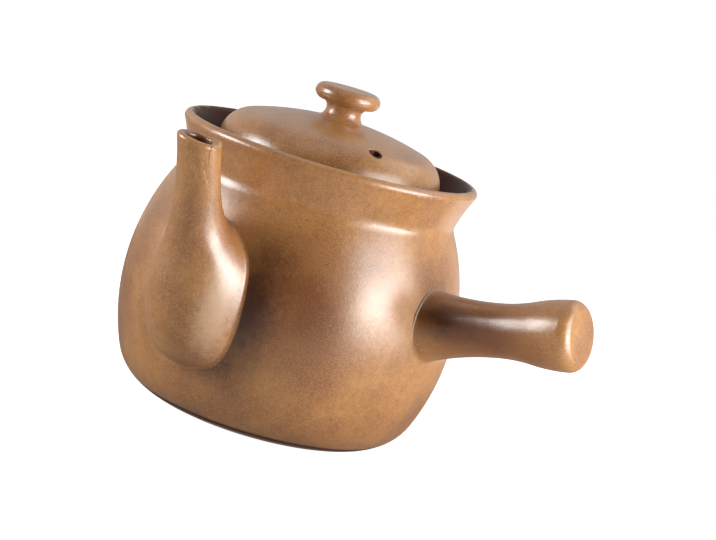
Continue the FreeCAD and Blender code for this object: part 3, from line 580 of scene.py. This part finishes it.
def makeBead(name):
    node, body, slot, changes, points = beads[name]
    skin = BVHTree.FromPolygons([v.co.copy() for v in nodes[node].data.vertices],
                                [list(face.vertices) for face in nodes[node].data.polygons])
    run = smoothRun(points)
    line = [Vector(row[:3]) * mm for row in run]
    much, pace, slowPace, start = beadClay["lumps"]
    sections = []
    for i, point in enumerate(line):
        along = (line[min(i + 1, len(line) - 1)] - line[max(i - 1, 0)]).normalized()
        place, out = skin.find_nearest(point)[:2]
        across = along.cross(out).normalized()
        half, high = run[i][3] * mm, run[i][4] * mm
        high *= 1 + much * math.sin(i * pace) * math.sin(i * slowPace + start)
        section = [place - out * beadClay["buried"] * mm]
        for step in range(beadClay["steps"] + 1):
            s = step / beadClay["steps"] * 2 - 1
            under, facing = skin.find_nearest(place + across * half * s * beadClay["spread"])[:2]
            rise = high * (1 - s * s) ** beadClay["crown"]
            section.append(under + facing * (
                rise - beadClay["tucked"] * mm * s ** 4 - beadClay["sunk"] * mm))
        sections.append(section)
    bead = clayStrip(name, sections, comesBack=False)
    dress(bead, burnishedStoneware("raised clay, " + name, changes))
    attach(bead, body)


for name in beads:
    makeBead(name)
print("beads: lip, drips and the burr of the vent laid on")


# Floor, background and lamps, in metres, degrees and watts. An azimuth goes from -Y towards +X.
studio = {
    "centre": (0.0, 0.0, 0.075),    # what the lamps and the camera are placed around
    "floorSize": 3.0,
    "floorColour": "#d2cdc4",
    "floorGlow": 0.95,              # how much of its white is its own, so the shadow stays soft
    "floorMirrored": 0.15,          # how much of that glow the pot's sheen shows
    "floorInSheen": "#5c5a57",      # the floor's colour as the sheen shows it
    "nearSide": 0.0,                # light from the photographer's side, left out for contrast
    "farSide": 0.55,                # light from the white paper behind the pot
    "farAzimuth": 205.0,
    "farElevation": 10.0,
    "farFade": (-0.2, 0.9),         # where it starts and is whole: 1 is its middle, -1 behind us
    "cardHeight": 0.003,
}

lamps = {
    # azimuth, elevation, distance, width, height, watts
    "rightBox": (95.0, 20.5, 1.2, 0.84, 0.86, 10.0),
    "rightLow": (98.0, 9.0, 1.2, 0.84, 0.36, 6.2),
    "leftBox": (-49.0, 15.0, 1.2, 0.50, 0.64, 11.8),
    "backBox": (150.0, 48.0, 1.3, 1.00, 0.60, 1.5),
    "topBox": (-20.0, 72.0, 1.2, 0.90, 0.90, 1.0),
}

# White cards that lie on the table beside and behind the pot and throw light up at it.
cards = {
    # azimuth, distance, side, watts, and whether the sheen shows it
    "lowCard": (120.0, 0.30, 0.26, 0.37, False),
    "frontCard": (62.0, 0.28, 0.22, 0.14, False),
    "farCard": (95.0, 0.80, 0.56, 3.9, True),
    "backCard": (195.0, 0.75, 0.90, 2.0, True),
}


def direction(azimuth, elevation):
    a, e = math.radians(azimuth), math.radians(elevation)
    return Vector((math.sin(a) * math.cos(e), -math.cos(a) * math.cos(e), math.sin(e)))


# The kinds of ray, and a share that is one for those that show the background white.
def raysSeen(tree):
    ray = addNode(tree, "LightPath")
    seen = addNode(tree, "Math", {"operation": "MAXIMUM"}, {
        0: ray.outputs["Is Camera Ray"], 1: ray.outputs["Is Transmission Ray"]})
    return ray, seen.outputs[0]


def makeFloor():
    half = studio["floorSize"] / 2
    shape = bmesh.new()
    shape.faces.new([shape.verts.new((x * half, y * half, 0))
                     for x, y in ((-1, -1), (1, -1), (1, 1), (-1, 1))])
    floor = pieceFrom(shape, "floor")
    material = emptyMaterial("matt white paper")
    tree = material.node_tree
    ray, seen = raysSeen(tree)
    mirrored = addNode(tree, "Math", {"operation": "MULTIPLY"}, {
        0: ray.outputs["Is Glossy Ray"], 1: studio["floorMirrored"]})
    either = addNode(tree, "Math", {"operation": "MAXIMUM"}, {0: seen, 1: mirrored.outputs[0]})
    share = addNode(tree, "Math", {"operation": "MULTIPLY"}, {
        0: either.outputs[0], 1: studio["floorGlow"]})
    shade = addNode(tree, "Mix", {"data_type": "RGBA"}, {
        "Factor": ray.outputs["Is Glossy Ray"], 6: linear(studio["floorColour"]),
        7: linear(studio["floorInSheen"])})
    paper = addNode(tree, "BsdfDiffuse", inputs={"Color": shade.outputs[2]})
    glow = addNode(tree, "Emission", inputs={
        "Color": (1, 1, 1, 1), "Strength": share.outputs[0]})
    both = addNode(tree, "AddShader", inputs={0: paper.outputs[0], 1: glow.outputs[0]})
    addNode(tree, "OutputMaterial", inputs={"Surface": both.outputs[0]})
    dress(floor, material)


# White in the picture, and on the pot the light of the paper behind it.
def makeWorld():
    world = bpy.data.worlds.new("studio")
    world.use_nodes = True
    bpy.context.scene.world = world
    tree = world.node_tree
    tree.nodes.clear()
    place = addNode(tree, "TexCoord")
    towards = addNode(tree, "VectorMath", {"operation": "DOT_PRODUCT"}, {
        0: place.outputs["Generated"],
        1: direction(studio["farAzimuth"], studio["farElevation"])})
    starts, whole = studio["farFade"]
    paper = addNode(tree, "MapRange", {"interpolation_type": "SMOOTHSTEP"}, {
        "Value": towards.outputs["Value"], "From Min": starts, "From Max": whole,
        "To Min": studio["nearSide"], "To Max": studio["farSide"]})
    seen = raysSeen(tree)[1]
    strength = addNode(tree, "Mix", {"data_type": "FLOAT"}, {
        0: seen, 2: paper.outputs["Result"], 3: 1.0})
    sky = addNode(tree, "Background", inputs={
        "Color": (1, 1, 1, 1), "Strength": strength.outputs[0]})
    addNode(tree, "OutputWorld", inputs={"Surface": sky.outputs[0]})


def addLamp(name, place, facing, width, height, watts, inSheen=True):
    light = bpy.data.lights.new(name, "AREA")
    light.shape = "RECTANGLE"
    light.size, light.size_y = width, height
    light.energy = watts
    lamp = bpy.data.objects.new(name, light)
    lamp.location = place
    lamp.rotation_euler = (-facing).to_track_quat("Z", "Y").to_euler()
    lamp.visible_camera = False
    lamp.visible_glossy = inSheen
    bpy.context.scene.collection.objects.link(lamp)


def makeLamps():
    up = Vector((0, 0, 1))
    for name, (azimuth, elevation, distance, width, height, watts) in lamps.items():
        out = direction(azimuth, elevation)
        place = Vector(studio["centre"]) + out * distance
        addLamp(name, place, -out, width, height, watts)
    for name, (azimuth, distance, side, watts, inSheen) in cards.items():
        place = direction(azimuth, 0.0) * distance + up * studio["cardHeight"]
        addLamp(name, place, up, side, side, watts, inSheen)


# The photograph's view, from the fit of the pot's outlines. The picture leans, so the camera is
# rolled. Lengths are in metres, and the lens and its sensor in millimetres.
view = {
    "azimuth": 32.0,
    "elevation": 10.43,
    "distance": 0.9615,
    "lookAt": (0.0157, 0.0130),     # across and up from the middle of the pot
    "roll": 16.31,
    "lens": 96.64,
    "sensor": 36.0,
    "shift": (0.0314, -0.0247),
}


def makeCamera():
    back = direction(view["azimuth"], view["elevation"])
    across = Vector((0, 0, 1)).cross(back).normalized()
    up = back.cross(across)
    middle = Vector(studio["centre"])
    place = middle + back * view["distance"]
    target = middle + across * view["lookAt"][0] + up * view["lookAt"][1]
    data = bpy.data.cameras.new("camera")
    data.lens = view["lens"]
    data.sensor_width = view["sensor"]
    data.shift_x, data.shift_y = view["shift"]
    camera = bpy.data.objects.new("camera", data)
    camera.rotation_mode = "QUATERNION"
    camera.location = place
    roll = Quaternion((0, 0, 1), math.radians(view["roll"]))
    camera.rotation_quaternion = (place - target).to_track_quat("Z", "Y") @ roll
    bpy.context.scene.collection.objects.link(camera)
    bpy.context.scene.camera = camera


makeFloor()
makeWorld()
makeLamps()
makeCamera()
bpy.context.scene.view_settings.view_transform = "Standard"
print("studio: floor, lamps and camera placed")
